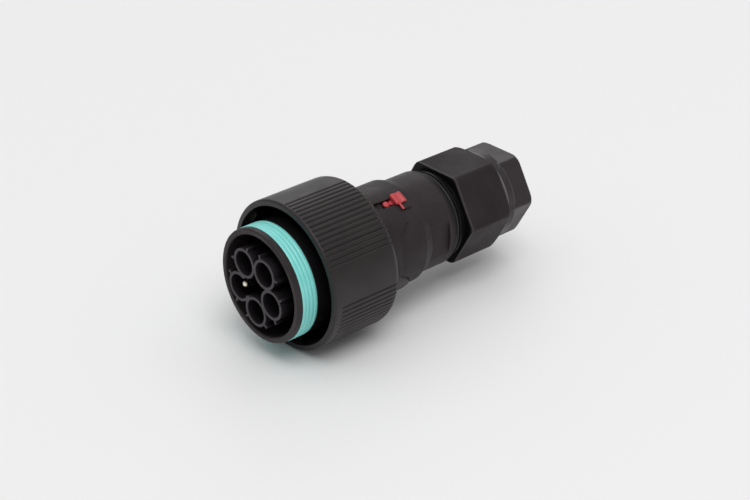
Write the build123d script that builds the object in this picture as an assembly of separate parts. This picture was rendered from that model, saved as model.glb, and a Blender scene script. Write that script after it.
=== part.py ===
from build123d import *
import math
import os

# Circular cable connector with five contact tubes, a bayonet coupling sleeve and a cable gland.
# The axis runs along Y: the mating face looks towards -Y and the cable leaves towards +Y.
# Stations along the axis are measured from the rim of the shroud, and angles around it from +X
# towards +Z. At the end each piece is set down so that the sleeve rests on the ground and the
# origin lies under the middle of the length. All sizes are in millimetres and degrees.

# Clearances
running_gap = 0.35
sliding_gap = 0.2
seat_gap = 0.05
thrust_gap = 0.1

# Contact tubes and the shroud around them
pole_count = 5
earth_angle = 198.0
tube_bore_r = 4.65
tube_wall = 1.0
tube_merge = 0.05
tube_proud = 2.0
tube_web = 1.6
tube_mouth = 6.4
guide_rib_width = 0.8
guide_rib_height = 1.5
guide_rib_spread = 55.0
mate_wall_gap = 3.95
socket_depth = 16.0
shroud_wall = 2.3
rim_round = 0.6

# Seal on the shroud
rim_land = 2.3
seal_width = 6.5
seal_depth = 1.1
seal_proud = 0.15
seal_ridges = 4
seal_ridge_cut = 0.25

# Contacts and the carrier that holds them
pin_r = 3.6
pin_recess = 6.5
earth_recess = 2.0
pin_nose_r = 1.3
earth_nose_length = 9.5
pin_shoulder_round = 1.6
pin_nose_round = 0.95
collar_front_wall = 2.0
contact_web = 1.2
contact_collar_length = 16.0
terminal_wall = 2.1
wire_bore_r = 2.7
wire_depth = 8.0
terminal_length = 9.5
clamp_screw_r = 2.4
clamp_screw_length = 4.0
clamp_screw_setback = 3.4
clamp_screw_socket = 1.4
retainer_thickness = 3.0
retainer_screw_r = 1.5
retainer_screw_grip = 9.0
retainer_head_r = 2.8
retainer_head_height = 2.0
retainer_head_round = 1.2
drive_length = 3.4
drive_width = 0.7

# Coupling sleeve
sleeve_setback = 2.2
sleeve_length = 30.7
sleeve_wall = 2.2
sleeve_rear_wall = 4.0
sleeve_shoulder_round = 3.2
sleeve_edge_round = 0.8
coupling_gap = 4.8
panel_centre = 12.0
panel_angle = 28.0
rib_pitch = 1.95
rib_groove_width = 1.0
rib_groove_depth = 0.5
rib_lips = [0.8, 3.0, 3.0]
lug_count = 3
lug_first_angle = 30.0
lug_angle = 24.0
lug_height = 1.8
lug_length = 4.0
lug_setback = 3.0

# Sleeve bearing on the front housing
flange_thickness = 3.0
thrust_washer_thickness = 1.0
clip_thickness = 1.3
clip_groove_depth = 1.0
clip_height = 2.6
clip_opening = 9.0
hub_lip = 5.2

# Tongues that lock the two housings together
tongue_count = 3
tongue_angle = 63.0
tongue_length = 7.0
tongue_thickness = 0.95
tongue_drop = 0.5
tongue_base_half = 12.6
tongue_tip_half = 9.0
tongue_straight = 0.8
tongue_tip_straight = 0.8
track_half = 4.4
track_length = 5.0
barb_width = 8.0
barb_length = 2.4
barb_height = 0.75
barb_setback = 2.6

# Locking slide
slide_travel = 4.0
slide_head_length = 5.2
slide_head_width = 4.7
slide_head_height = 1.3
slide_runner_width = 2.8
slide_nose_length = 4.0
slide_foot_width = 5.6
slide_foot_height = 0.8
slide_end_wall = 1.0
slide_tail_length = 2.6
slide_tail_width = 1.1
slide_profile_round = 0.45
slide_edge_round = 0.3
slide_slope = 0.9
slide_waist_r = 1.6
slide_waist_depth = 0.4
slide_neck_width = 1.7
slide_nose_round = 0.75

# Rear housing
chamber_wall = 2.4
collar_length = 13.5
step_length = 4.0
body_length = 13.5
body_rear_round = 1.8
body_wall = 1.5
flat_depth = 1.35
flat_length = 9.0
o_ring_d = 1.4
o_ring_setback = 3.4
gland_thread_r = 15.8
gland_thread_length = 9.0
gland_seat_wall = 2.58

# Cable gland
gland_o_ring_d = 1.4
gland_washer_thickness = 1.2
gland_washer_width = 1.5
gland_shoulder_length = 1.75
gland_shoulder_drop = 1.0
gland_wall = 1.4
hex_step = 2.4
hex_corner_round = 1.6
hex_length = 21.2
hex_front_chamfer = 0.8
hex_rear_round = 2.6
clamp_thread_drop = 0.4
clamp_thread_length = 4.1
clamp_seat_wall = 1.9
clamp_seat_depth = 13.5
clamp_seat_land = 1.6
clamp_seat_step = 2.2
cage_wall = 1.2
cage_floor = 1.7
cage_slot_count = 12
cage_slot_width = 1.5
cage_slot_length = 9.0
cable_seal_wall = 2.4
cable_clearance = 0.85
press_ring_thickness = 2.0
nut_gap = 0.3
nut_wall = 1.65
nut_collar_floor = 1.1
nut_collar_chamfer = 1.0
nut_length = 13.2
nut_flat_wall = 1.85
nut_corner_round = 0.8
nut_end_wall = 4.2
nut_mouth_round = 1.5

# Radii that follow from the tubes outwards
tube_r = tube_bore_r + tube_wall
tube_pitch_r = (tube_r - tube_merge) / math.sin(math.pi / pole_count)
shroud_bore_r = tube_pitch_r + tube_r + mate_wall_gap
shroud_r = shroud_bore_r + shroud_wall
seat_bore_r = shroud_bore_r + running_gap
seal_groove_r = shroud_r - seal_depth
sleeve_bore_r = shroud_r + coupling_gap
sleeve_r = sleeve_bore_r + sleeve_wall
hub_bore_r = shroud_r + running_gap
flange_r = sleeve_bore_r - 2 * running_gap
tongue_r = shroud_r - tongue_drop
tongue_bore_r = tongue_r - tongue_thickness
collar_r = tongue_bore_r - seat_gap
spigot_r = seat_bore_r - seat_gap
chamber_r = spigot_r - chamber_wall
terminal_r = wire_bore_r + terminal_wall
contact_collar_r = tube_pitch_r * math.sin(math.pi / pole_count) - contact_web / 2
gland_bore_r = gland_thread_r + seat_gap
body_r = gland_bore_r + gland_seat_wall
body_bore_r = body_r - flat_depth - body_wall
clamp_thread_r = gland_thread_r - clamp_thread_drop
hex_across_flats = 2 * (clamp_thread_r + hex_step)
clamp_seat_r = clamp_thread_r - clamp_seat_wall
cage_r = clamp_seat_r - seat_gap
cage_bore_r = cage_r - cage_wall
seal_plug_r = cage_bore_r - seat_gap
cable_r = seal_plug_r - cable_seal_wall
nut_thread_r = clamp_thread_r + running_gap
nut_collar_r = nut_thread_r + nut_wall
nut_cavity_r = clamp_seat_r + running_gap
nut_across_flats = 2 * (nut_cavity_r + nut_flat_wall)
nut_bore_r = cable_r + cable_clearance
press_ring_r = clamp_seat_r - running_gap
gland_bore_front_r = gland_thread_r - gland_wall
gland_through_r = clamp_seat_r - clamp_seat_step

# Stations along the axis from the mating face to the cable entry
tube_front = -tube_proud
seal_front = rim_land
seal_rear = seal_front + seal_width
sleeve_front = seal_rear + sleeve_setback
sleeve_rear = sleeve_front + sleeve_length
sleeve_wall_front = sleeve_rear - sleeve_rear_wall
thrust_rear = sleeve_wall_front - thrust_gap
flange_rear = thrust_rear - thrust_washer_thickness
flange_front = flange_rear - flange_thickness
clip_front = sleeve_rear + thrust_gap
clip_rear = clip_front + clip_thickness
hub_rear = clip_rear + hub_lip
contact_collar_front = socket_depth + collar_front_wall
carrier_rear = contact_collar_front + contact_collar_length
retainer_rear = carrier_rear + retainer_thickness
terminal_rear = carrier_rear + terminal_length
housing_joint = hub_rear + seat_gap
tongue_rear = hub_rear + tongue_length
track_rear = tongue_rear + track_length
collar_rear = hub_rear + collar_length
body_front = collar_rear + step_length
body_rear = body_front + body_length
gland_front = body_rear - gland_thread_length
o_ring_front = body_rear + seat_gap
washer_front = o_ring_front + gland_o_ring_d + seat_gap
hex_front = washer_front + gland_washer_thickness + seat_gap + gland_shoulder_length
hex_rear = hex_front + hex_length
clamp_rear = hex_rear + clamp_thread_length
clamp_seat_front = clamp_rear - clamp_seat_depth
nut_front = hex_rear + nut_gap
nut_thread_depth = clamp_rear - hex_rear
nut_collar_rear = nut_front + nut_thread_depth + nut_collar_floor
nut_rear = nut_front + nut_length
nut_face = nut_rear - nut_end_wall
press_rear = nut_face - thrust_gap
press_front = press_rear - press_ring_thickness
cage_front = clamp_seat_front + seat_gap
cage_rear = press_front - sliding_gap

# Angles of the five poles, the earth pole first
pole_angles = [earth_angle + pole * 360 / pole_count for pole in range(pole_count)]
pole_names = ["earth", "neutral", "line_3", "line_2", "line_1"]


def across(station):
    """Plane across the axis at a station, its own x and y along world X and Z."""
    return Plane(origin=(0, station, 0), x_dir=(1, 0, 0), z_dir=(0, -1, 0))


def prism(outline, front, rear):
    """Straight body of one cross outline between two stations."""
    return extrude(across(rear) * outline, amount=rear - front)


def turned(corners, rounds=()):
    """Body turned about the axis from (radius, station) corners, with some corners rounded."""
    face = make_face(Polyline(*corners, close=True))
    for corner, radius in rounds:
        face = fillet(face.vertices().sort_by_distance(corner)[:1], radius)
    return revolve(face, Axis.Y)


def ring(outer_r, inner_r, front, rear):
    """Plain ring between two radii and two stations."""
    return turned([(inner_r, front), (outer_r, front), (outer_r, rear), (inner_r, rear)])


def around(angle):
    """Turn about the axis that carries +X to the given angle."""
    return Rot(0, -angle, 0)


def block(inner_r, outer_r, width, front, rear, offset=0.0):
    """Radial block at angle 0, between two radii, a tangential width and two stations."""
    centre = Pos((inner_r + outer_r) / 2, (front + rear) / 2, offset)
    return centre * Box(outer_r - inner_r, rear - front, width)


def tube_place(angle):
    """Place of a contact tube in the cross plane."""
    turn = math.radians(angle)
    return Pos(tube_pitch_r * math.cos(turn), tube_pitch_r * math.sin(turn))


def tongue_outline(half_base, half_tip, straight, length, inner_r, outer_r):
    """Tapering tongue of a cylinder wall at angle 0, cut from a ring by its outline seen from outside."""
    shoulder = length - tongue_tip_straight
    corners = [
        (-half_base, 0),
        (half_base, 0),
        (half_base, straight),
        (half_tip, shoulder),
        (half_tip, length),
        (-half_tip, length),
        (-half_tip, shoulder),
        (-half_base, straight),
    ]
    face = make_face(Polyline(*corners, close=True))
    seen = Plane(origin=(0, hub_rear, 0), x_dir=(0, 0, -1), z_dir=(1, 0, 0))
    wall = ring(outer_r, inner_r, hub_rear, hub_rear + length)
    return extrude(seen * face, amount=2 * outer_r) & wall


# Front housing: the shroud with its rim and seal groove, the thrust flange and the tongues
front_housing = turned(
    [
        (shroud_bore_r, 0),
        (shroud_r, 0),
        (shroud_r, seal_front),
        (seal_groove_r, seal_front),
        (seal_groove_r, seal_rear),
        (shroud_r, seal_rear),
        (shroud_r, flange_front),
        (flange_r, flange_front),
        (flange_r, flange_rear),
        (shroud_r, flange_rear),
        (shroud_r, clip_front - seat_gap),
        (shroud_r - clip_groove_depth, clip_front - seat_gap),
        (shroud_r - clip_groove_depth, clip_rear + seat_gap),
        (shroud_r, clip_rear + seat_gap),
        (shroud_r, hub_rear),
        (seat_bore_r, hub_rear),
        (seat_bore_r, socket_depth),
        (shroud_bore_r, socket_depth),
    ],
    [((shroud_bore_r, 0), rim_round), ((shroud_r, 0), rim_round)],
)
tongue_angles = [tongue_angle + index * 360 / tongue_count for index in range(tongue_count)]
tongue = tongue_outline(
    tongue_base_half, tongue_tip_half, tongue_straight, tongue_length, tongue_bore_r, tongue_r
)
for angle in tongue_angles:
    front_housing += around(angle) * tongue
track = block(tongue_bore_r - tongue_thickness, tongue_r + 1, 2 * track_half, hub_rear, track_rear)
front_housing += around(tongue_angle) * (track & ring(tongue_r, tongue_bore_r, hub_rear, track_rear))

# The slot for the locking slide runs from under the sleeve to the end of the track
slot_width = slide_runner_width + 2 * sliding_gap
slot_rear = track_rear - slide_end_wall
slide_rear = slot_rear - sliding_gap
slide_head_front = slide_rear - slide_head_length
slide_nose_front = slide_head_front - slide_nose_length
slot_front = slide_nose_front - slide_travel - running_gap
slot = block(seat_bore_r - 1, shroud_r + 1, slot_width, slot_front, slot_rear)
front_housing -= around(tongue_angle) * slot

# Each of the other tongues has a window that snaps over a barb on the rear housing
barb_rear = tongue_rear - barb_setback
barb_front = barb_rear - barb_length
window = block(
    tongue_bore_r - 1,
    tongue_r + 1,
    barb_width + 2 * sliding_gap,
    barb_front - sliding_gap,
    barb_rear + sliding_gap,
)
for angle in tongue_angles[1:]:
    front_housing -= around(angle) * window

# Seal ring with fine ridges around it
seal_r = shroud_r + seal_proud
ridge_pitch = seal_width / seal_ridges
seal_corners = [(seal_groove_r + seat_gap, seal_front + seat_gap)]
for ridge in range(seal_ridges):
    ridge_front = seal_front + ridge * ridge_pitch + seat_gap
    ridge_rear = seal_front + (ridge + 1) * ridge_pitch - seat_gap
    seal_corners.append((seal_r - seal_ridge_cut, ridge_front))
    seal_corners.append((seal_r, ridge_front + seal_ridge_cut))
    seal_corners.append((seal_r, ridge_rear - seal_ridge_cut))
    seal_corners.append((seal_r - seal_ridge_cut, ridge_rear))
seal_corners.append((seal_groove_r + seat_gap, seal_rear - seat_gap))
seal_ring = turned(seal_corners)

# Contact carrier: a thick base and five tubes, the earth tube open towards the middle
tubes = Sketch()
for angle in pole_angles:
    tubes += tube_place(angle) * Circle(tube_r)
    for spread in (-guide_rib_spread, guide_rib_spread):
        rib_reach = tube_r + guide_rib_height
        rib = Pos(rib_reach / 2, 0) * Rectangle(rib_reach, guide_rib_width)
        tubes += tube_place(angle) * Rot(0, 0, angle + spread) * rib
web_r = tube_pitch_r * math.cos(math.pi / pole_count)
for angle in pole_angles:
    tubes += Rot(0, 0, angle + 180 / pole_count) * Pos(web_r, 0) * Rectangle(2 * tube_web, tube_web)
for angle in pole_angles:
    tubes -= tube_place(angle) * Circle(tube_bore_r)
earth_mouth = Pos(tube_pitch_r - tube_r / 2, 0) * Rectangle(tube_r, tube_mouth)
tubes -= Rot(0, 0, earth_angle) * earth_mouth
sector_reach = spigot_r * math.tan(math.pi / pole_count)
sector = make_face(
    Polyline((0, 0), (spigot_r, -sector_reach), (spigot_r, sector_reach), close=True)
)
contact_tubes = {}
for name, angle in zip(pole_names, pole_angles):
    contact_tubes["tube_" + name] = prism(tubes & (Rot(0, 0, angle) * sector), tube_front, socket_depth)
contact_carrier = prism(Circle(spigot_r), socket_depth, carrier_rear)
pin_hole = prism(Circle(pin_r + seat_gap), socket_depth, carrier_rear)
collar_hole = prism(Circle(contact_collar_r + seat_gap), contact_collar_front, carrier_rear)
for angle in pole_angles:
    contact_carrier -= around(angle) * Pos(tube_pitch_r, 0, 0) * (pin_hole + collar_hole)
screw_tip = carrier_rear - retainer_screw_grip
contact_carrier -= prism(Circle(retainer_screw_r + seat_gap), screw_tip - seat_gap, carrier_rear)


def contact(nose_r, nose_tip, pin_front):
    """Pin contact on the axis: nose, round-nosed pin, collar and a terminal barrel bored for the wire."""
    body = turned(
        [
            (0, pin_front),
            (pin_r, pin_front),
            (pin_r, contact_collar_front + seat_gap),
            (contact_collar_r, contact_collar_front + seat_gap),
            (contact_collar_r, carrier_rear - seat_gap),
            (terminal_r, carrier_rear - seat_gap),
            (terminal_r, terminal_rear),
            (wire_bore_r, terminal_rear),
            (wire_bore_r, terminal_rear - wire_depth),
            (0, terminal_rear - wire_depth),
        ],
        [((pin_r, pin_front), pin_shoulder_round)],
    )
    nose = turned(
        [(0, nose_tip), (nose_r, nose_tip), (nose_r, pin_front + pin_r), (0, pin_front + pin_r)],
        [((nose_r, nose_tip), pin_nose_round)],
    )
    thread = Pos(terminal_r, terminal_rear - clamp_screw_setback, 0) * Rot(0, 90, 0)
    return body + nose - thread * Cylinder(clamp_screw_r + seat_gap, 2 * terminal_r)


earth_tip = tube_front + earth_recess
pin_tip = tube_front + pin_recess
earth_contact = contact(pin_nose_r, earth_tip, earth_tip + earth_nose_length)
line_contact = contact(pin_nose_r, pin_tip, pin_tip + pin_nose_r)
contacts = {}
for name, angle in zip(pole_names, pole_angles):
    piece = earth_contact if name == "earth" else line_contact
    contacts["contact_" + name] = around(angle) * Pos(tube_pitch_r, 0, 0) * piece

# Clamp screws of the terminals, backed out with no wire under them
clamp_screw = Cylinder(clamp_screw_r, clamp_screw_length)
socket_bit = RegularPolygon(clamp_screw_socket, 6)
screw_top = Plane.XY.offset(clamp_screw_length / 2)
clamp_screw -= extrude(screw_top * socket_bit, amount=-clamp_screw_length / 2)
clamp_screw_centre = tube_pitch_r + wire_bore_r + clamp_screw_length / 2
screw_seat = Pos(clamp_screw_centre, terminal_rear - clamp_screw_setback, 0) * Rot(0, 90, 0)
terminal_screws = Part() + [around(angle) * screw_seat * clamp_screw for angle in pole_angles]

# Retainer plate that keeps the contacts in the carrier, and its screw
contact_retainer = ring(spigot_r, retainer_screw_r + seat_gap, carrier_rear, retainer_rear)
terminal_hole = prism(Circle(terminal_r + seat_gap), carrier_rear, retainer_rear)
for angle in pole_angles:
    contact_retainer -= around(angle) * Pos(tube_pitch_r, 0, 0) * terminal_hole
retainer_screw = turned(
    [
        (0, screw_tip),
        (retainer_screw_r, screw_tip),
        (retainer_screw_r, retainer_rear),
        (retainer_head_r, retainer_rear),
        (retainer_head_r, retainer_rear + retainer_head_height),
        (0, retainer_rear + retainer_head_height),
    ],
    [((retainer_head_r, retainer_rear + retainer_head_height), retainer_head_round)],
)
drive = Rectangle(drive_length, drive_width)
drive += Rectangle(drive_width, drive_length)
head_rear = retainer_rear + retainer_head_height
retainer_screw -= prism(drive, head_rear - retainer_head_height / 2, head_rear)

# Coupling sleeve: a cup with a rounded rear shoulder, bayonet lugs inside and grip ribs outside
coupling_sleeve = turned(
    [
        (sleeve_bore_r, sleeve_front),
        (sleeve_r, sleeve_front),
        (sleeve_r, sleeve_rear),
        (hub_bore_r, sleeve_rear),
        (hub_bore_r, sleeve_wall_front),
        (sleeve_bore_r, sleeve_wall_front),
    ],
    [
        ((sleeve_r, sleeve_front), sleeve_edge_round),
        ((sleeve_r, sleeve_rear), sleeve_shoulder_round),
        ((sleeve_bore_r, sleeve_wall_front), sleeve_edge_round),
    ],
)
lug_front = sleeve_front + lug_setback
lug_rear = lug_front + lug_length
lug_band = ring(sleeve_bore_r + sleeve_wall / 2, sleeve_bore_r - lug_height, lug_front, lug_rear)
lug_width = 2 * sleeve_bore_r * math.sin(math.radians(lug_angle / 2))
lug_cut = block(sleeve_bore_r / 2, sleeve_r, lug_width, lug_front, lug_rear)
for index in range(lug_count):
    coupling_sleeve += around(lug_first_angle + index * 360 / lug_count) * (lug_band & lug_cut)
rib_step = math.degrees(rib_pitch / sleeve_r)
panel_count = len(rib_lips)
ribbed_angle = 360 / panel_count - panel_angle
groove_count = round(ribbed_angle / rib_step)
groove = Polyline(
    (sleeve_r - rib_groove_depth, 0),
    (sleeve_r + rib_groove_depth, -rib_groove_width),
    (sleeve_r + rib_groove_depth, rib_groove_width),
    close=True,
)
for panel, rib_lip in enumerate(rib_lips):
    panel_edge = panel_centre + panel * 360 / panel_count + panel_angle / 2
    grooves = Sketch()
    for index in range(groove_count):
        groove_angle = panel_edge + (index + 0.5) * ribbed_angle / groove_count
        grooves += Rot(0, 0, groove_angle) * make_face(groove)
    coupling_sleeve -= prism(grooves, sleeve_front + rib_lip, sleeve_rear + sleeve_wall)

# Thrust washer in front of the sleeve's rear wall and the spring clip behind it
thrust_washer = ring(flange_r, shroud_r + seat_gap, flange_rear, flange_rear + thrust_washer_thickness)
clip_r = shroud_r - clip_groove_depth + clip_height
retaining_clip = ring(clip_r, shroud_r - clip_groove_depth + seat_gap, clip_front, clip_rear)
clip_cut = block(shroud_r / 2, clip_r + 1, clip_opening, clip_front - 1, clip_rear + 1)
retaining_clip -= around(tongue_angle) * clip_cut

# Rear housing: a spigot in the front housing, a collar under the tongues and the wiring chamber
spigot_front = retainer_rear + seat_gap
o_ring_rear = hub_rear - o_ring_setback
o_ring_groove_front = o_ring_rear - o_ring_d - 2 * seat_gap
o_ring_groove_r = seat_bore_r - o_ring_d - 2 * seat_gap
rear_housing = turned(
    [
        (chamber_r, spigot_front),
        (spigot_r, spigot_front),
        (spigot_r, o_ring_groove_front),
        (o_ring_groove_r, o_ring_groove_front),
        (o_ring_groove_r, o_ring_rear),
        (spigot_r, o_ring_rear),
        (spigot_r, housing_joint),
        (collar_r, housing_joint),
        (collar_r, collar_rear),
        (body_r, body_front),
        (body_r, body_rear),
        (gland_bore_r, body_rear),
        (gland_bore_r, gland_front - seat_gap),
        (body_bore_r, gland_front - seat_gap),
        (body_bore_r, collar_rear),
        (chamber_r, collar_rear),
    ],
    [((body_r, body_rear), body_rear_round)],
)
flat_cut = block(body_r - flat_depth, body_r + 1, 2 * body_r, body_front, body_front + flat_length)
for angle in (0, 180):
    rear_housing -= around(angle) * flat_cut
foot_pocket_r = tongue_bore_r - 2 * sliding_gap - slide_foot_height
foot_pocket_width = slide_foot_width + 2 * sliding_gap
foot_pocket = block(
    foot_pocket_r,
    tongue_r + 1,
    foot_pocket_width,
    slide_head_front - slide_travel - sliding_gap,
    slot_rear,
)
nose_channel = block(spigot_r + sliding_gap, tongue_r + 1, slot_width, housing_joint, slot_rear)
rear_housing -= around(tongue_angle) * (foot_pocket + nose_channel)
barb_section = Polyline(
    (collar_r - barb_height, barb_front),
    (collar_r + barb_height, barb_front),
    (collar_r + barb_height / 4, barb_rear),
    (collar_r - barb_height, barb_rear),
    close=True,
)
barb = extrude(make_face(barb_section), amount=barb_width / 2, both=True)
for angle in tongue_angles[1:]:
    rear_housing += around(angle) * barb

# Sealing ring between the two housings
housing_o_ring_r = seat_bore_r - seat_gap - o_ring_d / 2
housing_o_ring = Rot(90, 0, 0) * Torus(housing_o_ring_r, o_ring_d / 2)
housing_o_ring = Pos(0, (o_ring_groove_front + o_ring_rear) / 2, 0) * housing_o_ring

# Locking slide: a thumb piece over the track, a runner in the slot and a foot trapped under it
slide_foot_top = tongue_bore_r - sliding_gap
slide_foot_floor = slide_foot_top - slide_foot_height
slide_head_floor = tongue_r + sliding_gap
slide_head_top = slide_head_floor + slide_head_height
head_outline = Polyline(
    (slide_head_floor, slide_head_front),
    (slide_head_top, slide_head_front),
    (slide_head_top, slide_rear - slide_slope),
    (slide_head_floor + slide_head_height / 2, slide_rear),
    (slide_head_floor, slide_rear),
    close=True,
)
head_face = make_face(head_outline)
head_face = fillet(head_face.vertices().group_by(Axis.X)[-1], slide_profile_round)
slide_waist = Pos(slide_head_top + slide_waist_r - slide_waist_depth, (slide_head_front + slide_rear) / 2)
head_face -= slide_waist * Circle(slide_waist_r)
slide_head = extrude(head_face, amount=slide_head_width / 2, both=True)
slide_sides = slide_head.faces().sort_by(Axis.Z)
slide_head = fillet(slide_sides[0].edges() + slide_sides[-1].edges(), slide_edge_round)
slide_runner_top = slide_head_top - slide_head_height / 2
slide_runner = block(slide_foot_floor, slide_runner_top, slide_runner_width, slide_head_front, slide_rear)
slide_foot = block(slide_foot_floor, slide_foot_top, slide_foot_width, slide_head_front, slide_rear)
nose_r = slide_runner_width / 2
nose_floor = spigot_r + 2 * sliding_gap
nose_centre_y = slide_nose_front + nose_r
slide_neck = block(nose_floor, tongue_r - nose_r / 2, slide_neck_width, nose_centre_y, slide_rear)
nose_dome = Rot(0, 90, 0) * Cylinder(nose_r, tongue_r - nose_floor)
nose_dome = fillet(nose_dome.edges().sort_by(Axis.X)[-1:], slide_nose_round)
nose_dome = Pos((nose_floor + tongue_r) / 2, nose_centre_y, 0) * nose_dome
slide_tail = block(
    slide_head_floor,
    slide_head_floor + slide_head_height / 2,
    slide_head_width / 2 + slide_tail_length,
    slide_head_front + slide_tail_width,
    slide_head_front + 2 * slide_tail_width,
    -(slide_head_width / 2 + slide_tail_length) / 2,
)
locking_slide = slide_head + slide_runner + slide_foot + slide_neck + nose_dome + slide_tail
locking_slide = around(tongue_angle) * locking_slide

# Cable gland body: a threaded spigot, a hexagon and the thread under the pressure nut
hex_corner_r = hex_across_flats / math.sqrt(3)
hexagon = fillet(RegularPolygon(hex_corner_r, 6).vertices(), hex_corner_round)
hex_envelope = turned(
    [
        (0, hex_front),
        (hex_corner_r - hex_front_chamfer, hex_front),
        (hex_corner_r, hex_front + hex_front_chamfer),
        (hex_corner_r, hex_rear),
        (0, hex_rear),
    ],
    [((hex_corner_r, hex_rear), hex_rear_round)],
)
gland_body = prism(hexagon, hex_front, hex_rear) & hex_envelope
gland_body += prism(Circle(gland_thread_r), gland_front, hex_front)
gland_shoulder_r = gland_thread_r + gland_washer_width - gland_shoulder_drop
gland_body += prism(Circle(gland_shoulder_r), hex_front - gland_shoulder_length, hex_front)
gland_body += prism(Circle(clamp_thread_r), hex_rear, clamp_rear)
gland_body -= prism(Circle(gland_through_r), gland_front, clamp_rear)
gland_body -= prism(Circle(gland_bore_front_r), gland_front, clamp_seat_front - clamp_seat_land)
gland_body -= prism(Circle(clamp_seat_r), clamp_seat_front, clamp_rear)

# Sealing ring and washer between the gland and the rear housing
gland_o_ring_r = gland_thread_r + seat_gap + gland_o_ring_d / 2
gland_o_ring = Rot(90, 0, 0) * Torus(gland_o_ring_r, gland_o_ring_d / 2)
gland_o_ring = Pos(0, o_ring_front + gland_o_ring_d / 2, 0) * gland_o_ring
gland_washer = ring(
    gland_thread_r + gland_washer_width,
    gland_thread_r + seat_gap,
    washer_front,
    washer_front + gland_washer_thickness,
)

# Clamping cage with fingers around the rubber cable seal
clamp_cage = turned(
    [
        (gland_through_r, cage_front),
        (cage_r, cage_front),
        (cage_r, cage_rear),
        (cage_bore_r, cage_rear),
        (cage_bore_r, cage_front + cage_floor),
        (gland_through_r, cage_front + cage_floor),
    ]
)
cage_slot_front = cage_rear - cage_slot_length
cage_slot = block(cage_bore_r - cage_wall, cage_r + cage_wall, cage_slot_width, cage_slot_front, cage_rear)
for index in range(cage_slot_count):
    clamp_cage -= around(index * 360 / cage_slot_count) * cage_slot
seal_plug_front = cage_front + cage_floor + seat_gap
seal_plug_rear = cage_rear - seat_gap
cable_seal = ring(seal_plug_r, cable_r, seal_plug_front, seal_plug_rear)
seal_edges = cable_seal.edges().filter_by(GeomType.CIRCLE).sort_by(Axis.Y)[-2:]
cable_seal = chamfer(seal_edges, cage_wall / 2)

# Pressure ring and the pressure nut that drives it
pressure_ring = ring(press_ring_r, nut_bore_r, press_front, press_rear)
nut_corner_r = nut_across_flats / math.sqrt(3)
nut_hexagon = fillet(RegularPolygon(nut_corner_r, 6).vertices(), nut_corner_round)
nut_envelope = turned(
    [(0, nut_front), (nut_corner_r, nut_front), (nut_corner_r, nut_rear), (0, nut_rear)],
    [((nut_corner_r, nut_rear), nut_mouth_round)],
)
nut_collar = turned(
    [
        (0, nut_front),
        (nut_collar_r, nut_front),
        (nut_collar_r, nut_collar_rear - nut_collar_chamfer),
        (nut_collar_r - 2 * nut_collar_chamfer, nut_collar_rear),
        (0, nut_collar_rear),
    ],
    [((nut_collar_r, nut_front), nut_collar_chamfer / 2)],
)
nut_flats = prism(nut_hexagon, nut_collar_rear - nut_thread_depth / 2, nut_rear) & nut_envelope
pressure_nut = nut_collar + nut_flats
pressure_nut -= prism(Circle(nut_thread_r), nut_front, nut_front + nut_thread_depth)
pressure_nut -= prism(Circle(nut_cavity_r), nut_front, nut_face)
nut_bore = turned(
    [
        (0, nut_front),
        (nut_bore_r, nut_front),
        (nut_bore_r, nut_rear - nut_mouth_round),
        (nut_bore_r + nut_mouth_round, nut_rear),
        (0, nut_rear),
    ]
)
pressure_nut -= nut_bore

# Set the connector down on its sleeve and write one file for each piece
pieces = {
    "front_housing": front_housing,
    "seal_ring": seal_ring,
    "contact_carrier": contact_carrier,
    **contact_tubes,
    **contacts,
    "terminal_screws": terminal_screws,
    "contact_retainer": contact_retainer,
    "retainer_screw": retainer_screw,
    "coupling_sleeve": coupling_sleeve,
    "thrust_washer": thrust_washer,
    "retaining_clip": retaining_clip,
    "rear_housing": rear_housing,
    "housing_o_ring": housing_o_ring,
    "locking_slide": locking_slide,
    "gland_body": gland_body,
    "gland_o_ring": gland_o_ring,
    "gland_washer": gland_washer,
    "clamp_cage": clamp_cage,
    "cable_seal": cable_seal,
    "pressure_ring": pressure_ring,
    "pressure_nut": pressure_nut,
}
set_down = Pos(0, -(tube_front + nut_rear) / 2, sleeve_r)
os.makedirs("parts", exist_ok=True)
for name, piece in pieces.items():
    export_step(set_down * piece, f"parts/{name}.step")
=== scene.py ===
import math
import bmesh
import bpy
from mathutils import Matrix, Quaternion, Vector


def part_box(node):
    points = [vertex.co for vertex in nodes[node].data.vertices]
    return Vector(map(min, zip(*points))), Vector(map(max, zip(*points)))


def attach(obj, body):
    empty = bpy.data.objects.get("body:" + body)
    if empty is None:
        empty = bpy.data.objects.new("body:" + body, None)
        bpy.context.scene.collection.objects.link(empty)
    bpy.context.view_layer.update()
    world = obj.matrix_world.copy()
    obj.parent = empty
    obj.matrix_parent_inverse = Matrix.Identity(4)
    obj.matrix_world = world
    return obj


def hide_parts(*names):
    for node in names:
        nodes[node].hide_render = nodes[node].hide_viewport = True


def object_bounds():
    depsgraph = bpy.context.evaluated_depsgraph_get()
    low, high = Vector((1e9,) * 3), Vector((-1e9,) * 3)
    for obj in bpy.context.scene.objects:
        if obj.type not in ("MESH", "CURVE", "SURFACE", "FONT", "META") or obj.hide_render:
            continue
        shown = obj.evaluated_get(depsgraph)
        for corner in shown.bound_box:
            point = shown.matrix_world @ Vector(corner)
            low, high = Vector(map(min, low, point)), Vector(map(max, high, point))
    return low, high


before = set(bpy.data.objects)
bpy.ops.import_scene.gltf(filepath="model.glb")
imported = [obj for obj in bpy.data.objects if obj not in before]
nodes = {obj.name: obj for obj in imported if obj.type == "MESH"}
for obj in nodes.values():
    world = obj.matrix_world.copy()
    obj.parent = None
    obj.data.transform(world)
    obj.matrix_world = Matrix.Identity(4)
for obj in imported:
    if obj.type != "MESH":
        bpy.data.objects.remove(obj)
cad_low, cad_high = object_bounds()
scene = bpy.context.scene

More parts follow.
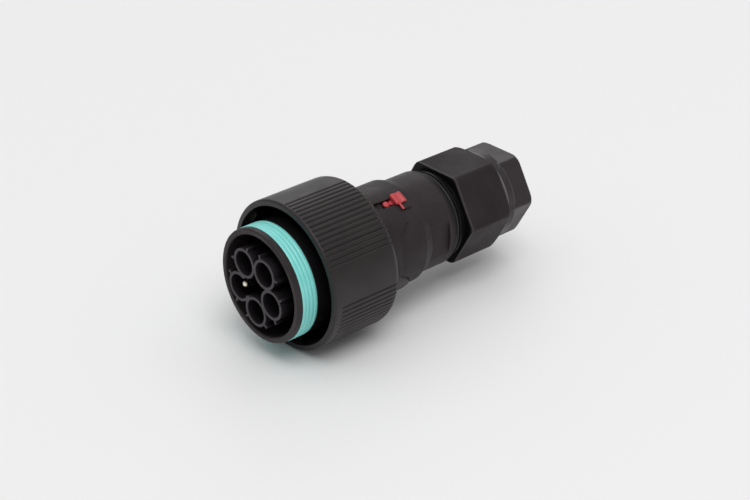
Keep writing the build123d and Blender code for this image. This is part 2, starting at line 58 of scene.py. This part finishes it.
# Front housing
# The shroud around the contacts, moulded in black glass-filled nylon in one piece with the thrust
# flange that the coupling sleeve turns on and the tongues that snap over the rear housing. The running
# surface under the sleeve is darkened as painted shade.
MM = 0.001


def link(tree, source, target):
    """Joins an output socket to an input socket."""
    tree.links.new(source, target)


def new_group(name, inputs, outputs):
    """Shader node group with named sockets. Returns its tree, its input node and its output node."""
    tree = bpy.data.node_groups.new(name, "ShaderNodeTree")
    for socket, value in inputs:
        made = tree.interface.new_socket(socket, in_out="INPUT", socket_type="NodeSocketFloat")
        made.default_value = value
    for socket, kind in outputs:
        tree.interface.new_socket(socket, in_out="OUTPUT", socket_type=kind)
    return tree, tree.nodes.new("NodeGroupInput"), tree.nodes.new("NodeGroupOutput")


def object_place(tree):
    """Coordinates on the object itself, in metres."""
    return tree.nodes.new("ShaderNodeTexCoord").outputs["Object"]


def noise(tree, coordinates, scale, detail=3.0):
    """Noise texture on the given coordinates, with a scale in spots per metre that may be a socket."""
    texture = tree.nodes.new("ShaderNodeTexNoise")
    texture.inputs["Detail"].default_value = detail
    texture.inputs["Roughness"].default_value = 0.55
    if isinstance(scale, float):
        texture.inputs["Scale"].default_value = scale
    else:
        link(tree, scale, texture.inputs["Scale"])
    link(tree, coordinates, texture.inputs["Vector"])
    return texture.outputs["Fac"]


def spread(tree, value, low, high, to_low, to_high):
    """Maps a value from one range to another, held at both ends."""
    node = tree.nodes.new("ShaderNodeMapRange")
    node.inputs["From Min"].default_value = low
    node.inputs["From Max"].default_value = high
    node.inputs["To Min"].default_value = to_low
    node.inputs["To Max"].default_value = to_high
    link(tree, value, node.inputs["Value"])
    return node.outputs["Result"]


def combine(tree, operation, first, second):
    """Maths node on two values, where the second may be a plain number."""
    node = tree.nodes.new("ShaderNodeMath")
    node.operation = operation
    link(tree, first, node.inputs[0])
    if isinstance(second, (int, float)):
        node.inputs[1].default_value = second
    else:
        link(tree, second, node.inputs[1])
    return node.outputs["Value"]


# Fine spark-eroded grain of a mould, with broad uneven patches where the melt cooled
moulded, moulded_in, moulded_out = new_group(
    "moulded_grain",
    [("Grain Scale", 5200.0)],
    [("Patches", "NodeSocketFloat"), ("Grain", "NodeSocketFloat")],
)
patch_scale = 95.0
moulded_place = object_place(moulded)
moulded_grain = noise(moulded, moulded_place, moulded_in.outputs["Grain Scale"], detail=2.0)
moulded_patches = noise(moulded, moulded_place, patch_scale, detail=4.0)
moulded_patches = spread(moulded, moulded_patches, 0.35, 0.65, 0, 1)
link(moulded, moulded_grain, moulded_out.inputs["Grain"])
link(moulded, moulded_patches, moulded_out.inputs["Patches"])

# Edges softened by the mould and rubbed by handling, found where a small round would turn the surface.
# Their pale tone is partly rubbed wear and partly painted highlight.
edge_reach = 0.3 * MM
break_scale = 700.0
wear_highlight, wear_highlight_in, wear_highlight_out = new_group(
    "rubbed_and_highlit_edges",
    [("Reach", edge_reach)],
    [("Edge", "NodeSocketFloat"), ("Rounded", "NodeSocketVector")],
)
wear_highlight_round = wear_highlight.nodes.new("ShaderNodeBevel")
wear_highlight_round.samples = 6
link(wear_highlight, wear_highlight_in.outputs["Reach"], wear_highlight_round.inputs["Radius"])
wear_highlight_turn = wear_highlight.nodes.new("ShaderNodeVectorMath")
wear_highlight_turn.operation = "DOT_PRODUCT"
link(wear_highlight, wear_highlight_round.outputs["Normal"], wear_highlight_turn.inputs[0])
link(wear_highlight, wear_highlight.nodes.new("ShaderNodeNewGeometry").outputs["Normal"], wear_highlight_turn.inputs[1])
wear_highlight_mask = spread(wear_highlight, wear_highlight_turn.outputs["Value"], 0.99, 0.86, 0, 1)
wear_highlight_break = spread(wear_highlight, noise(wear_highlight, object_place(wear_highlight), break_scale), 0.3, 0.6, 0.35, 1)
link(wear_highlight, combine(wear_highlight, "MULTIPLY", wear_highlight_mask, wear_highlight_break), wear_highlight_out.inputs["Edge"])
link(wear_highlight, wear_highlight_round.outputs["Normal"], wear_highlight_out.inputs["Rounded"])

# Pale specks of dust that a matt dark surface holds
dusty, dusty_in, dusty_out = new_group("dust_specks", [("Amount", 0.5)], [("Dust", "NodeSocketFloat")])
speck_scale = 420.0
settled_scale = 160.0
dusty_place = object_place(dusty)
dusty_speck = dusty.nodes.new("ShaderNodeTexVoronoi")
dusty_speck.inputs["Scale"].default_value = speck_scale
link(dusty, dusty_place, dusty_speck.inputs["Vector"])
dusty_dot = spread(dusty, dusty_speck.outputs["Distance"], 0.03, 0.08, 1, 0)
dusty_field = spread(dusty, noise(dusty, dusty_place, settled_scale), 0.55, 0.7, 0, 1)
dusty_seen = combine(dusty, "MULTIPLY", dusty_dot, dusty_field)
link(dusty, combine(dusty, "MULTIPLY", dusty_seen, dusty_in.outputs["Amount"]), dusty_out.inputs["Dust"])


def place_group(tree, group, **values):
    """Node group placed in a material with its own values."""
    node = tree.nodes.new("ShaderNodeGroup")
    node.node_tree = group
    for name, value in values.items():
        node.inputs[name.replace("_", " ")].default_value = value
    return node.outputs


def mix_colour(tree, share, first, second):
    """Colour mixed by a mask. Each colour is a socket or a plain red, green and blue."""
    node = tree.nodes.new("ShaderNodeMix")
    node.data_type = "RGBA"
    link(tree, share, node.inputs["Factor"])
    for socket, colour in ((node.inputs[6], first), (node.inputs[7], second)):
        if isinstance(colour, tuple):
            socket.default_value = (*colour, 1)
        else:
            link(tree, colour, socket)
    return node.outputs[2]


def relief(tree, shader, height, distance, strength, over=None):
    """Surface relief from a height, as deep as the distance in metres, over a smoothed normal if given."""
    node = tree.nodes.new("ShaderNodeBump")
    node.inputs["Distance"].default_value = distance
    node.inputs["Strength"].default_value = strength
    link(tree, height, node.inputs["Height"])
    if over is not None:
        link(tree, over, node.inputs["Normal"])
    link(tree, node.outputs["Normal"], shader.inputs["Normal"])


def new_material(name):
    """Empty node material. Returns it with its tree and its principled shader."""
    material = bpy.data.materials.new(name)
    material.use_nodes = True
    return material, material.node_tree, material.node_tree.nodes["Principled BSDF"]


def axis_station(tree):
    """Station along the connector's axis, in metres."""
    place = tree.nodes.new("ShaderNodeSeparateXYZ")
    link(tree, object_place(tree), place.inputs["Vector"])
    return place.outputs["Y"]


def band(tree, front, rear, soft):
    """Mask of the surface between two stations, with soft ends."""
    station = axis_station(tree)
    starts = spread(tree, station, front, front + soft, 0, 1)
    ends = spread(tree, station, rear - soft, rear, 1, 0)
    return combine(tree, "MULTIPLY", starts, ends)


def tint(material, mask, colour):
    """Lays a colour over a material's own colour where the mask is."""
    tree = material.node_tree
    target = tree.nodes["Principled BSDF"].inputs["Base Color"]
    link(tree, mix_colour(tree, mask, target.links[0].from_socket, colour), target)


dust_tone = (0.2, 0.2, 0.2)
# Tone of the bands of painted shade, laid where surfaces lie in shade.
painted_shade_tone = (0.006, 0.0055, 0.0058)
painted_shade_fade = 0.4 * MM
patch_gloss = 0.08
edge_gloss = 0.12
shade_band_gloss = 0.14


def black_nylon(name, dark, light, edge, dull, polish, grain_depth, dust, painted_shade_band=None, reach=edge_reach):
    """Black glass-filled nylon: patches between two tones, paler edges that are partly rubbed wear and
    partly painted highlight, grain and a little dust. A band between two stations is painted darker as
    shade, and glossier. The edges are rounded over their reach."""
    material, tree, shader = new_material(name)
    surface = place_group(tree, moulded)
    edges = place_group(tree, wear_highlight, Reach=reach)
    specks = place_group(tree, dusty, Amount=dust)["Dust"]
    tone = mix_colour(tree, surface["Patches"], dark, light)
    # The paler edges are partly wear and partly painted highlight.
    tone = mix_colour(tree, edges["Edge"], tone, edge)
    tone = mix_colour(tree, specks, tone, dust_tone)
    shine = spread(tree, surface["Patches"], 0, 1, dull, dull - patch_gloss)
    shine = combine(tree, "SUBTRACT", shine, combine(tree, "MULTIPLY", edges["Edge"], edge_gloss))
    if painted_shade_band is not None:
        # The band is painted shade: darker tone and lower roughness.
        shade_mask = band(tree, *painted_shade_band, painted_shade_fade)
        tone = mix_colour(tree, shade_mask, tone, painted_shade_tone)
        shine = combine(tree, "SUBTRACT", shine, combine(tree, "MULTIPLY", shade_mask, shade_band_gloss))
    link(tree, tone, shader.inputs["Base Color"])
    link(tree, shine, shader.inputs["Roughness"])
    relief(tree, shader, surface["Grain"], grain_depth, strength=0.35, over=edges["Rounded"])
    shader.inputs["Specular IOR Level"].default_value = polish
    return material


def dress(node, material):
    """Gives a solid of the frame a better material."""
    for material_slot in nodes[node].material_slots:
        material_slot.material = material


seal_margin = 0.1 * MM
sleeve_margin = 1.0 * MM
running_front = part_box("seal_ring")[1].y + seal_margin
running_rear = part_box("coupling_sleeve")[1].y - sleeve_margin
# The band on the running surface under the sleeve is painted shade.
housing_black = black_nylon(
    "housing_black",
    dark=(0.0225, 0.018, 0.0192),
    light=(0.031, 0.0252, 0.0265),
    edge=(0.062, 0.054, 0.056),
    dull=0.46,
    polish=0.2,
    grain_depth=0.04 * MM,
    dust=0.4,
    painted_shade_band=(running_front, running_rear),
)
dress("front_housing", housing_black)

# Seal ring
# A turquoise silicone ring stretched into the groove of the shroud. Fine ridges run around it so that
# it slides into the mating connector and still seals.
FULL_TURN = 2 * math.pi
seal_low, seal_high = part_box("seal_ring")
axis_height = (seal_low.z + seal_high.z) / 2
seal_r = seal_high.x
seal_thickness = 1.2 * MM
seal_floor_r = seal_r - seal_thickness
seal_ridges = 4
seal_ridge_cut = 0.17 * MM
ridge_fullness = 0.6
ridge_steps = 8
seal_steps = 192
seal_sharp = 70


def new_mesh(name, points, faces, sharp_angle):
    """Mesh with its faces turned outwards, smooth except over edges sharper than the angle in degrees."""
    mesh = bpy.data.meshes.new(name)
    mesh.from_pydata(points, [], faces)
    build = bmesh.new()
    build.from_mesh(mesh)
    bmesh.ops.recalc_face_normals(build, faces=build.faces)
    build.to_mesh(mesh)
    build.free()
    mesh.shade_smooth()
    mesh.set_sharp_from_angle(angle=math.radians(sharp_angle))
    return mesh


def turned(name, profile, steps, sharp_angle):
    """Ring-shaped piece turned about the axis from a closed profile. A point of the profile is a station
    and a radius, or a function that gives both for an angle."""
    points = []
    for point in profile:
        for step in range(steps):
            angle = FULL_TURN * step / steps
            station, radius = point(angle) if callable(point) else point
            points.append((radius * math.cos(angle), station, axis_height + radius * math.sin(angle)))
    faces = []
    for row in range(len(profile)):
        after = (row + 1) % len(profile)
        for step in range(steps):
            beside = (step + 1) % steps
            near, far = row * steps, after * steps
            faces.append((near + step, near + beside, far + beside, far + step))
    return bpy.data.objects.new(name, new_mesh(name, points, faces, sharp_angle))


def seat(piece, body, material):
    """Puts a piece on its body with its material."""
    scene.collection.objects.link(piece)
    piece.data.materials.append(material)
    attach(piece, body)


ridge_pitch = (seal_high.y - seal_low.y) / seal_ridges
seal_profile = [(seal_low.y, seal_floor_r)]
for ridge in range(seal_ridges):
    for step in range(ridge_steps):
        station = seal_low.y + (ridge + step / ridge_steps) * ridge_pitch
        crown = math.sin(math.pi * step / ridge_steps) ** ridge_fullness
        seal_profile.append((station, seal_r - seal_ridge_cut * (1 - crown)))
seal_profile.append((seal_high.y, seal_r - seal_ridge_cut))
seal_profile.append((seal_high.y, seal_floor_r))


def grain_shine(tree, grain, bright, dull):
    """Roughness that follows the grain of a surface between two values."""
    return spread(tree, grain, 0.3, 0.7, bright, dull)


silicone, silicone_tree, silicone_shader = new_material("turquoise_silicone")
silicone_surface = place_group(silicone_tree, moulded, Grain_Scale=3800.0)
silicone_specks = place_group(silicone_tree, dusty, Amount=0.3)["Dust"]
silicone_dark = (0.185, 0.67, 0.63)
silicone_light = (0.23, 0.74, 0.695)
silicone_dust = (0.12, 0.3, 0.29)
silicone_tone = mix_colour(silicone_tree, silicone_surface["Patches"], silicone_dark, silicone_light)
silicone_tone = mix_colour(silicone_tree, silicone_specks, silicone_tone, silicone_dust)
silicone_shine = grain_shine(silicone_tree, silicone_surface["Grain"], bright=0.36, dull=0.46)
link(silicone_tree, silicone_tone, silicone_shader.inputs["Base Color"])
link(silicone_tree, silicone_shine, silicone_shader.inputs["Roughness"])
relief(silicone_tree, silicone_shader, silicone_surface["Grain"], distance=0.02 * MM, strength=0.3)
silicone_shader.inputs["Specular IOR Level"].default_value = 1.0
silicone_shader.inputs["Subsurface Weight"].default_value = 0.15
silicone_shader.inputs["Subsurface Radius"].default_value = (0.6 * MM, 1.2 * MM, 1.1 * MM)
shroud_seal = turned("shroud_seal", seal_profile, seal_steps, seal_sharp)
seat(shroud_seal, "housing", silicone)
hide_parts("seal_ring")

# Contact carrier
# The insulating insert with its five contact tubes, moulded in finer black nylon and pushed into the
# shroud from behind. The earth tube is open towards the middle. The lips of the tubes are painted pale
# as a highlight, and the walls behind them are painted darker as shade.
carrier_black = black_nylon(
    "carrier_black",
    dark=(0.0165, 0.014, 0.0158),
    light=(0.022, 0.0186, 0.0212),
    edge=(0.1, 0.089, 0.099),
    dull=0.45,
    polish=0.12,
    grain_depth=0.02 * MM,
    dust=0.2,
)
# Painted light: tube walls darkened as shade, lips paled as a highlight.
tube_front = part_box("tube_earth")[0].y
lip_depth = 0.25 * MM
lip_painted_highlight = (0.062, 0.055, 0.062)
wall_fade = 3.0 * MM
wall_painted_shade = (0.0085, 0.0068, 0.0085)
carrier_tree = carrier_black.node_tree
carrier_station = axis_station(carrier_tree)
carrier_shade_mask = spread(carrier_tree, carrier_station, tube_front, tube_front + wall_fade, 0, 1)
carrier_highlight_mask = spread(carrier_tree, carrier_station, tube_front + lip_depth / 2, tube_front + lip_depth, 1, 0)
tint(carrier_black, carrier_shade_mask, wall_painted_shade)
tint(carrier_black, carrier_highlight_mask, lip_painted_highlight)
dress("contact_carrier", carrier_black)
dress("contact_retainer", carrier_black)
dress("thrust_washer", carrier_black)
for node in nodes:
    if node.startswith("tube_"):
        dress(node, carrier_black)

# Contacts and their screws
# Turned brass pins with a thin pale plating, each with a terminal barrel behind it. A steel grub screw
# in each barrel clamps the wire, and a plate with one screw keeps the pins in. The clip is spring steel.


def turned_metal(name, first, second, grain_scale, bright, dull):
    """Metal with two tones in patches, a fine turned grain and a satin polish."""
    material, tree, shader = new_material(name)
    surface = place_group(tree, moulded, Grain_Scale=grain_scale)
    link(tree, mix_colour(tree, surface["Patches"], first, second), shader.inputs["Base Color"])
    link(tree, grain_shine(tree, surface["Grain"], bright, dull), shader.inputs["Roughness"])
    relief(tree, shader, surface["Grain"], distance=0.01 * MM, strength=0.2)
    shader.inputs["Metallic"].default_value = 1.0
    return material


plated_brass = turned_metal(
    "plated_brass",
    first=(0.93, 0.87, 0.7),
    second=(0.97, 0.94, 0.84),
    grain_scale=2600.0,
    bright=0.2,
    dull=0.34,
)
zinc_steel = turned_metal(
    "zinc_plated_steel",
    first=(0.5, 0.51, 0.52),
    second=(0.62, 0.62, 0.62),
    grain_scale=3200.0,
    bright=0.28,
    dull=0.44,
)
spring_steel = turned_metal(
    "spring_steel",
    first=(0.07, 0.07, 0.074),
    second=(0.12, 0.12, 0.126),
    grain_scale=3600.0,
    bright=0.42,
    dull=0.58,
)
for pole in ("earth", "neutral", "line_3", "line_2", "line_1"):
    dress("contact_" + pole, plated_brass)
dress("terminal_screws", zinc_steel)
dress("retainer_screw", zinc_steel)
dress("retaining_clip", spring_steel)

# Coupling sleeve
# The bayonet sleeve that turns on the housing, moulded in black nylon with fine grip ribs in three
# groups and plain panels between them. The ribs run from near the front over the rear shoulder. The
# first group ends near the top, where a wider panel begins.
sleeve_low, sleeve_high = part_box("coupling_sleeve")
sleeve_r = sleeve_high.x
sleeve_wall = 2.2 * MM
sleeve_bore_r = sleeve_r - sleeve_wall
hub_clearance = 0.2 * MM
hub_bore_r = seal_r + hub_clearance
rear_wall = 4.0 * MM
rear_wall_front = sleeve_high.y - rear_wall
edge_round = 0.8 * MM
shoulder_round = 3.2 * MM
shoulder_start = sleeve_high.y - shoulder_round
rib_lips = (0.8 * MM, 3.0 * MM, 3.0 * MM)
panel_middle = math.radians(12.0)
panel_half = math.radians(14.0)
rib_pitch = 1.95 * MM
rib_groove_half = 0.5 * MM
rib_groove_depth = 0.5 * MM
groove_start = 0.1 * MM
groove_start_steps = 3
wall_steps = 4
edge_steps = 5
shoulder_steps = 10
panel_turn = FULL_TURN / len(rib_lips)
ribbed_turn = panel_turn - 2 * panel_half
groove_count = round(ribbed_turn * sleeve_r / rib_pitch)
top_grooves = 16
group_grooves = (top_grooves, groove_count, groove_count)


def groove_depth(angle, station):
    """Depth of the grip grooves at an angle and a station of the straight wall."""
    place = (angle - panel_middle - panel_half) % FULL_TURN
    group = int(place // panel_turn)
    groove = place % panel_turn / ribbed_turn * groove_count
    if groove > group_grooves[group]:
        return 0.0
    groove_front = sleeve_low.y + rib_lips[group]
    run_in = min(1.0, max(0.0, (station - groove_front) / rib_groove_depth))
    away = abs(groove % 1 - 0.5) * rib_pitch
    return rib_groove_depth * run_in * max(0.0, 1 - away / rib_groove_half)


def wall_row(station):
    """Row of the sleeve's straight wall, cut by the grip grooves."""
    return lambda angle: (station, sleeve_r - groove_depth(angle, station))


def shoulder_row(turn):
    """Row of the rounded shoulder, turned from the wall towards the rear face, with the grooves over it."""
    def place(angle):
        reach = shoulder_round - groove_depth(angle, shoulder_start)
        station = shoulder_start + reach * math.sin(turn)
        return station, sleeve_r - shoulder_round + reach * math.cos(turn)
    return place


def between(first, second, steps):
    """Even steps from one value to another, both included."""
    return [first + (second - first) * step / steps for step in range(steps + 1)]


groove_runs = between(groove_start, rib_groove_depth, groove_start_steps)
wall_stations = sorted({sleeve_low.y + lip + run for lip in rib_lips for run in groove_runs})
wall_stations += between(wall_stations[-1], shoulder_start, wall_steps)[1:]
sleeve_profile = [(sleeve_low.y, sleeve_bore_r)]
for turn in between(0, math.pi / 2, edge_steps):
    station = sleeve_low.y + edge_round * (1 - math.cos(turn))
    sleeve_profile.append((station, sleeve_r - edge_round * (1 - math.sin(turn))))
sleeve_profile += [wall_row(station) for station in wall_stations]
sleeve_profile += [shoulder_row(turn) for turn in between(0, math.pi / 2, shoulder_steps)[1:]]
sleeve_profile += [
    (sleeve_high.y, sleeve_r - shoulder_round - edge_round),
    (sleeve_high.y, hub_bore_r + edge_round / 2),
    (sleeve_high.y - edge_round / 2, hub_bore_r),
    (rear_wall_front, hub_bore_r),
    (rear_wall_front, sleeve_bore_r - edge_round),
    (rear_wall_front - edge_round, sleeve_bore_r),
]
sleeve_black = black_nylon(
    "sleeve_black",
    dark=(0.013, 0.0093, 0.0099),
    light=(0.0175, 0.0128, 0.0134),
    edge=(0.02, 0.0155, 0.0165),
    dull=0.46,
    polish=0.4,
    grain_depth=0.05 * MM,
    dust=0.4,
)
points_per_rib = 12
sleeve_sharp = 50
sleeve_steps = points_per_rib * len(rib_lips) * round(panel_turn * sleeve_r / rib_pitch)
ribbed_sleeve = turned("ribbed_sleeve", sleeve_profile, sleeve_steps, sleeve_sharp)
seat(ribbed_sleeve, "sleeve", sleeve_black)
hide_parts("coupling_sleeve")

# Bayonet lugs
# Three blocks inside the sleeve, moulded with it, that run in the tracks of the mating connector and
# pull it home when the sleeve is turned. Their tone is painted very dark as shade.
# Painted shade: these tones are far darker than the sleeve's own nylon.
lug_painted_shade = black_nylon(
    "lug_painted_shade",
    dark=(0.004, 0.0035, 0.0037),
    light=(0.006, 0.0055, 0.0058),
    edge=(0.008, 0.007, 0.0074),
    dull=0.4,
    polish=0.1,
    grain_depth=0.02 * MM,
    dust=0.0,
)
first_lug = math.radians(30.0)
lug_half = math.radians(12.0)
lug_count = 3
lug_set_back = 3.0 * MM
lug_length = 4.0 * MM
lug_height = 1.8 * MM
lug_root = 0.8 * MM
lug_edge = 0.2 * MM
lug_front = sleeve_low.y + lug_set_back
lug_rear = lug_front + lug_length
lug_inner_r = sleeve_bore_r - lug_height
lug_root_r = sleeve_bore_r + lug_root
lug_steps = 10
lug_sharp = 35
lug_section = [
    (lug_front, lug_inner_r),
    (lug_front, lug_root_r),
    (lug_rear, lug_root_r),
    (lug_rear, lug_inner_r),
]
corner_count = len(lug_section)
for index in range(lug_count):
    middle = first_lug + index * FULL_TURN / lug_count
    lug_points = []
    for angle in between(middle - lug_half, middle + lug_half, lug_steps):
        for station, radius in lug_section:
            lug_points.append((radius * math.cos(angle), station, axis_height + radius * math.sin(angle)))
    lug_faces = [tuple(range(corner_count)), tuple(range(lug_steps * corner_count, len(lug_points)))]
    for step in range(lug_steps):
        for corner in range(corner_count):
            here = step * corner_count + corner
            beside = step * corner_count + (corner + 1) % corner_count
            lug_faces.append((here, beside, beside + corner_count, here + corner_count))
    lug_name = f"bayonet_lug_{index + 1}"
    lug = bpy.data.objects.new(lug_name, new_mesh(lug_name, lug_points, lug_faces, lug_sharp))
    soft_edges = lug.modifiers.new("soft edges", "BEVEL")
    soft_edges.width = lug_edge
    soft_edges.segments = 2
    soft_edges.limit_method = "ANGLE"
    seat(lug, "sleeve", lug_painted_shade)

# Rear housing
# The wiring chamber, moulded in the same black nylon. Its collar sits under the tongues of the front
# housing, and its body has two flats for a wrench and a thread for the gland. Its rear edge next to the
# gland is darkened as painted shade.
rear_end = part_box("rear_housing")[1].y
shade_reach = 3.4 * MM
shade_edge = 1.0 * MM
rear_black = black_nylon(
    "rear_black",
    dark=(0.029, 0.0234, 0.0253),
    light=(0.039, 0.0325, 0.0349),
    edge=(0.058, 0.05, 0.054),
    dull=0.47,
    polish=0.1,
    grain_depth=0.03 * MM,
    dust=0.4,
)
rear_station = axis_station(rear_black.node_tree)
# Painted shade on the rear edge, in the crevice under the gland's hexagon.
rear_painted_shade = spread(rear_black.node_tree, rear_station, rear_end - shade_reach, rear_end - shade_edge, 0, 1)
tint(rear_black, rear_painted_shade, painted_shade_tone)
dress("rear_housing", rear_black)

# Rubber rings
# Black nitrile rings: one seals the joint of the two housings, one lies under the gland and a thick
# one in the gland closes on the cable.
nitrile, nitrile_tree, nitrile_shader = new_material("black_nitrile")
nitrile_surface = place_group(nitrile_tree, moulded, Grain_Scale=4200.0)
nitrile_dark = (0.01, 0.01, 0.01)
nitrile_light = (0.017, 0.017, 0.017)
nitrile_tone = mix_colour(nitrile_tree, nitrile_surface["Patches"], nitrile_dark, nitrile_light)
link(nitrile_tree, nitrile_tone, nitrile_shader.inputs["Base Color"])
nitrile_shine = grain_shine(nitrile_tree, nitrile_surface["Grain"], bright=0.42, dull=0.6)
link(nitrile_tree, nitrile_shine, nitrile_shader.inputs["Roughness"])
relief(nitrile_tree, nitrile_shader, nitrile_surface["Grain"], distance=0.02 * MM, strength=0.3)
nitrile_shader.inputs["Specular IOR Level"].default_value = 0.3
dress("housing_o_ring", nitrile)
dress("gland_o_ring", nitrile)
dress("cable_seal", nitrile)

# Locking slide
# A small red slide in the track of the first tongue. Pushed forward, its nose keeps the coupling
# sleeve from turning back. It is moulded in glossy red plastic.
red, red_tree, red_shader = new_material("red_plastic")
red_surface = place_group(red_tree, moulded, Grain_Scale=4600.0)
red_edges = place_group(red_tree, wear_highlight)
red_dark = (0.46, 0.041, 0.049)
red_light = (0.57, 0.062, 0.072)
# The pale edge tone is partly rubbed wear and partly painted highlight.
red_edge_wear_and_highlight = (0.8, 0.19, 0.22)
red_tone = mix_colour(red_tree, red_surface["Patches"], red_dark, red_light)
red_tone = mix_colour(red_tree, red_edges["Edge"], red_tone, red_edge_wear_and_highlight)
red_shine = grain_shine(red_tree, red_surface["Grain"], bright=0.28, dull=0.4)
link(red_tree, red_tone, red_shader.inputs["Base Color"])
link(red_tree, red_shine, red_shader.inputs["Roughness"])
red_grain_depth = 0.02 * MM
relief(red_tree, red_shader, red_surface["Grain"], red_grain_depth, strength=0.25, over=red_edges["Rounded"])
moulded_slide = bpy.data.objects.new("moulded_slide", nodes["locking_slide"].data.copy())
moulded_slide.data.materials.clear()
seat(moulded_slide, "lock", red)
slide_skin = moulded_slide.modifiers.new("closed skin", "REMESH")
slide_skin.mode = "VOXEL"
slide_skin.voxel_size = 0.14 * MM
slide_skin.use_smooth_shade = True
slide_rounds = moulded_slide.modifiers.new("rounded edges", "SMOOTH")
slide_rounds.factor = 0.5
slide_rounds.iterations = 36
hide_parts("locking_slide")

# Cable gland
# The gland body screws into the rear housing with a rubber ring and a washer under its hexagon, and
# holds a cage of fingers around the cable seal. All are black nylon mouldings. The neck under the
# hexagon, up to its front face, is darkened as painted shade, and the hexagon's front edge is painted
# pale as a highlight.
neck_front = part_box("gland_body")[0].y
gland_shoulder = 1.8 * MM
hex_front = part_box("gland_washer")[1].y + gland_shoulder
highlight_start = 0.3 * MM
highlight_end = 1.3 * MM
highlight_fade = 0.2 * MM
hex_highlight_tone = (0.052, 0.045, 0.048)
gland_black = black_nylon(
    "gland_black",
    dark=(0.0235, 0.0188, 0.0202),
    light=(0.031, 0.0255, 0.0275),
    edge=(0.066, 0.058, 0.061),
    dull=0.5,
    polish=0.08,
    grain_depth=0.03 * MM,
    dust=0.35,
    # The band over the neck and the hexagon's front face is painted shade.
    painted_shade_band=(neck_front, hex_front + painted_shade_fade),
    reach=0.8 * MM,
)
# Painted highlight along the hexagon's front edge.
hex_front_highlight = band(gland_black.node_tree, hex_front + highlight_start, hex_front + highlight_end, highlight_fade)
tint(gland_black, hex_front_highlight, hex_highlight_tone)
dress("gland_body", gland_black)
dress("gland_washer", gland_black)
dress("clamp_cage", gland_black)

# Pressure nut
# The nut closes the gland: it drives the pressure ring against the cage and squeezes the rubber seal
# on the cable. A round collar, painted pale at its lip as a highlight, runs out into six flats.
# The bright edge tone is mostly painted highlight, and the pale band at the collar's lip is painted
# highlight.
nut_black = black_nylon(
    "nut_black",
    dark=(0.0295, 0.0243, 0.0256),
    light=(0.0385, 0.032, 0.0338),
    edge=(0.15, 0.137, 0.141),
    dull=0.42,
    polish=0.24,
    grain_depth=0.03 * MM,
    dust=0.35,
    reach=0.8 * MM,
)
nut_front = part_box("pressure_nut")[0].y
nut_lip = 1.1 * MM
nut_lip_fade = 0.1 * MM
nut_lip_highlight_tone = (0.13, 0.12, 0.123)
nut_lip_highlight = band(nut_black.node_tree, nut_front, nut_front + nut_lip, nut_lip_fade)
tint(nut_black, nut_lip_highlight, nut_lip_highlight_tone)
dress("pressure_nut", nut_black)
dress("pressure_ring", nut_black)

# Table, light and camera
# The connector lies on a pale seamless sheet of paper. A large soft box overhead and a smaller one
# behind light it, in a room that is bright overhead and at the horizon.
scene.view_settings.view_transform = "Standard"
table_tone = 0.865
fibre_contrast = 0.01
fibre_scale = 900.0
paper, paper_tree, paper_shader = new_material("pale_table")
paper_fibre = noise(paper_tree, object_place(paper_tree), fibre_scale)
paper_dark = (table_tone - fibre_contrast,) * 3
paper_light = (table_tone + fibre_contrast,) * 3
paper_tone = mix_colour(paper_tree, paper_fibre, paper_dark, paper_light)
link(paper_tree, paper_tone, paper_shader.inputs["Base Color"])
paper_shader.inputs["Roughness"].default_value = 0.9
paper_shader.inputs["Specular IOR Level"].default_value = 0.0
table_half = 4.0
table_mesh = bpy.data.meshes.new("table")
table_signs = [(-1, -1), (1, -1), (1, 1), (-1, 1)]
table_mesh.from_pydata([(x * table_half, y * table_half, 0) for x, y in table_signs], [], [(0, 1, 2, 3)])
table_mesh.materials.append(paper)
table = bpy.data.objects.new("table", table_mesh)
scene.collection.objects.link(table)

horizon_light = 0.55
horizon_low, horizon_high = 0.02, 0.3
room_dark = 0.28
ceiling_light = 0.9
ceiling_low, ceiling_high = 0.35, 0.9
room = bpy.data.worlds.new("room")
room.use_nodes = True
room_tree = room.node_tree
room_direction = room_tree.nodes.new("ShaderNodeSeparateXYZ")
room_place = room_tree.nodes.new("ShaderNodeTexCoord").outputs["Generated"]
link(room_tree, room_place, room_direction.inputs["Vector"])
room_height = room_direction.outputs["Z"]
room_horizon = spread(room_tree, room_height, horizon_low, horizon_high, horizon_light, room_dark)
ceiling_rise = ceiling_light - room_dark
room_ceiling = spread(room_tree, room_height, ceiling_low, ceiling_high, 0, ceiling_rise)
room_light = room_tree.nodes["Background"]
link(room_tree, combine(room_tree, "ADD", room_horizon, room_ceiling), room_light.inputs["Strength"])
room_light.inputs["Color"].default_value = (1, 1, 1, 1)
scene.world = room


def soft_box(name, place, aim, width, watts):
    """Square soft light at a place, facing a point."""
    light = bpy.data.lights.new(name, "AREA")
    light.shape = "SQUARE"
    light.size = width
    light.energy = watts
    lamp = bpy.data.objects.new(name, light)
    lamp.location = place
    lamp.rotation_euler = (Vector(place) - Vector(aim)).to_track_quat("Z", "Y").to_euler()
    scene.collection.objects.link(lamp)


connector_middle = (cad_low + cad_high) / 2
soft_box("overhead_soft_box", place=(1.5, -0.6, 3.3), aim=connector_middle, width=2.1, watts=51.0)
soft_box("rear_soft_box", place=(-1.66, 1.45, 1.2), aim=connector_middle, width=1.2, watts=5.6)

camera_data = bpy.data.cameras.new("camera")
camera_data.lens = 85.0
camera_data.sensor_width = 36.0
camera_azimuth = math.radians(48.87)
camera_elevation = math.radians(28.53)
camera_roll = math.radians(0.45)
camera_distance = 0.6
camera_aim = Vector((0.0354, -0.0352, 0.0489))
camera_back = Vector((
    math.sin(camera_azimuth) * math.cos(camera_elevation),
    -math.cos(camera_azimuth) * math.cos(camera_elevation),
    math.sin(camera_elevation),
))
camera = bpy.data.objects.new("camera", camera_data)
camera.location = camera_aim + camera_back * camera_distance
camera_turn = camera_back.to_track_quat("Z", "Y") @ Quaternion((0, 0, 1), -camera_roll)
camera.rotation_euler = camera_turn.to_euler()
scene.collection.objects.link(camera)
scene.camera = camera
